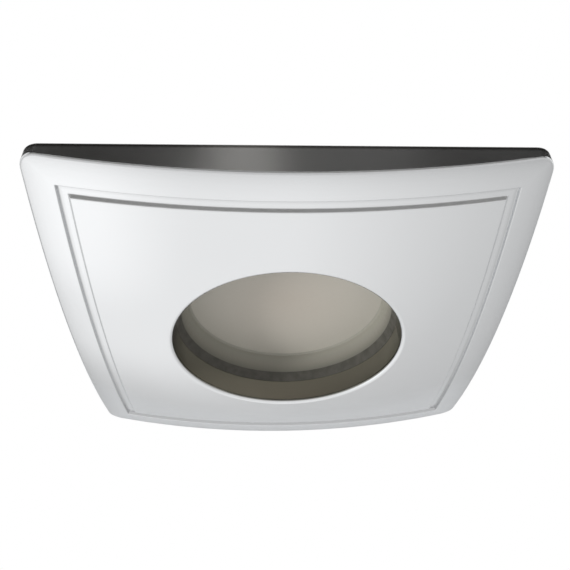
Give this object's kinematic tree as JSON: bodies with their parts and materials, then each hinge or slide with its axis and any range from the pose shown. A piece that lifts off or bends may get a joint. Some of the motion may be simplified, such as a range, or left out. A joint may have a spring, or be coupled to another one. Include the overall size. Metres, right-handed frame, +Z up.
{
  "type": "ceiling spotlight",
  "caption": "Recessed ceiling spotlight with a square domed satin chrome bezel, a round frosted lens in a deep light well, a reflector lamp and sprung clips.",
  "frame": {"origin": "on the lamp's axis, in the plane of the ceiling that the bezel's rim seats on", "axes": "+Z up into the ceiling void, so light leaves along -Z; X and Y along the bezel's sides"},
  "size_m": [0.088, 0.088, 0.0568],
  "materials": {
    "satin_chrome": "satin chrome plating on a die-casting",
    "foam": "closed-cell foam",
    "dark_rubber": "matt silicone rubber",
    "frosted_glass": "frosted on its front",
    "cast_aluminium": "as cast",
    "zinc_steel": "bright zinc plated",
    "spring_steel": "drawn wire",
    "clip_steel": "pressed sheet",
    "reflector_glass": "pressed glass with a mirror coating inside",
    "clear_glass": "clear",
    "quartz": "clear quartz",
    "steatite": "unglazed steatite",
    "nickel_pins": "nickel plated",
    "contact_brass": "plain",
    "boot_vinyl": "soft vinyl"
  },
  "bodies": {
    "fitting": {"front_bezel": "satin_chrome", "ceiling_gasket": "foam", "lens_gasket": "dark_rubber", "lens_glass": "frosted_glass", "lamp_collar": "cast_aluminium", "collar_screws": "zinc_steel", "lamp_circlip": "spring_steel", "lamp_reflector": "reflector_glass", "lamp_cover_glass": "clear_glass", "lamp_capsule": "quartz", "lamp_base": "steatite", "lamp_pins": "nickel_pins", "left_clip_pin": "zinc_steel", "left_clip_washer": "zinc_steel", "left_clip_spring": "spring_steel", "right_clip_pin": "zinc_steel", "right_clip_washer": "zinc_steel", "right_clip_spring": "spring_steel"},
    "left_clip": {"left_clip_arm": "clip_steel", "left_clip_boot": "boot_vinyl"},
    "right_clip": {"right_clip_arm": "clip_steel", "right_clip_boot": "boot_vinyl"},
    "lampholder": {"lampholder_body": "steatite", "lampholder_cover": "steatite", "lampholder_contacts": "contact_brass", "lampholder_rivets": "zinc_steel"}
  },
  "joints": [
    {"name": "left_clip_fold", "type": "hinge", "parent": "fitting", "child": "left_clip", "pos_m": [-0.0216, -0.0216, 0.0106], "axis": [-0.7071, 0.7071, 0], "range_deg": [0, 103], "stiffness_Nm_per_rad": 0.03, "springref_deg": -45.84, "deforming": ["left_clip_spring"]},
    {"name": "right_clip_fold", "type": "hinge", "parent": "fitting", "child": "right_clip", "pos_m": [0.0216, 0.0216, 0.0106], "axis": [0.7071, -0.7071, 0], "range_deg": [0, 103], "stiffness_Nm_per_rad": 0.03, "springref_deg": -45.84, "deforming": ["right_clip_spring"]},
    {"name": "lampholder_pull", "type": "slide", "parent": "fitting", "child": "lampholder", "axis": [0, 0, 1], "range_m": [0, 0.012]}
  ]
}
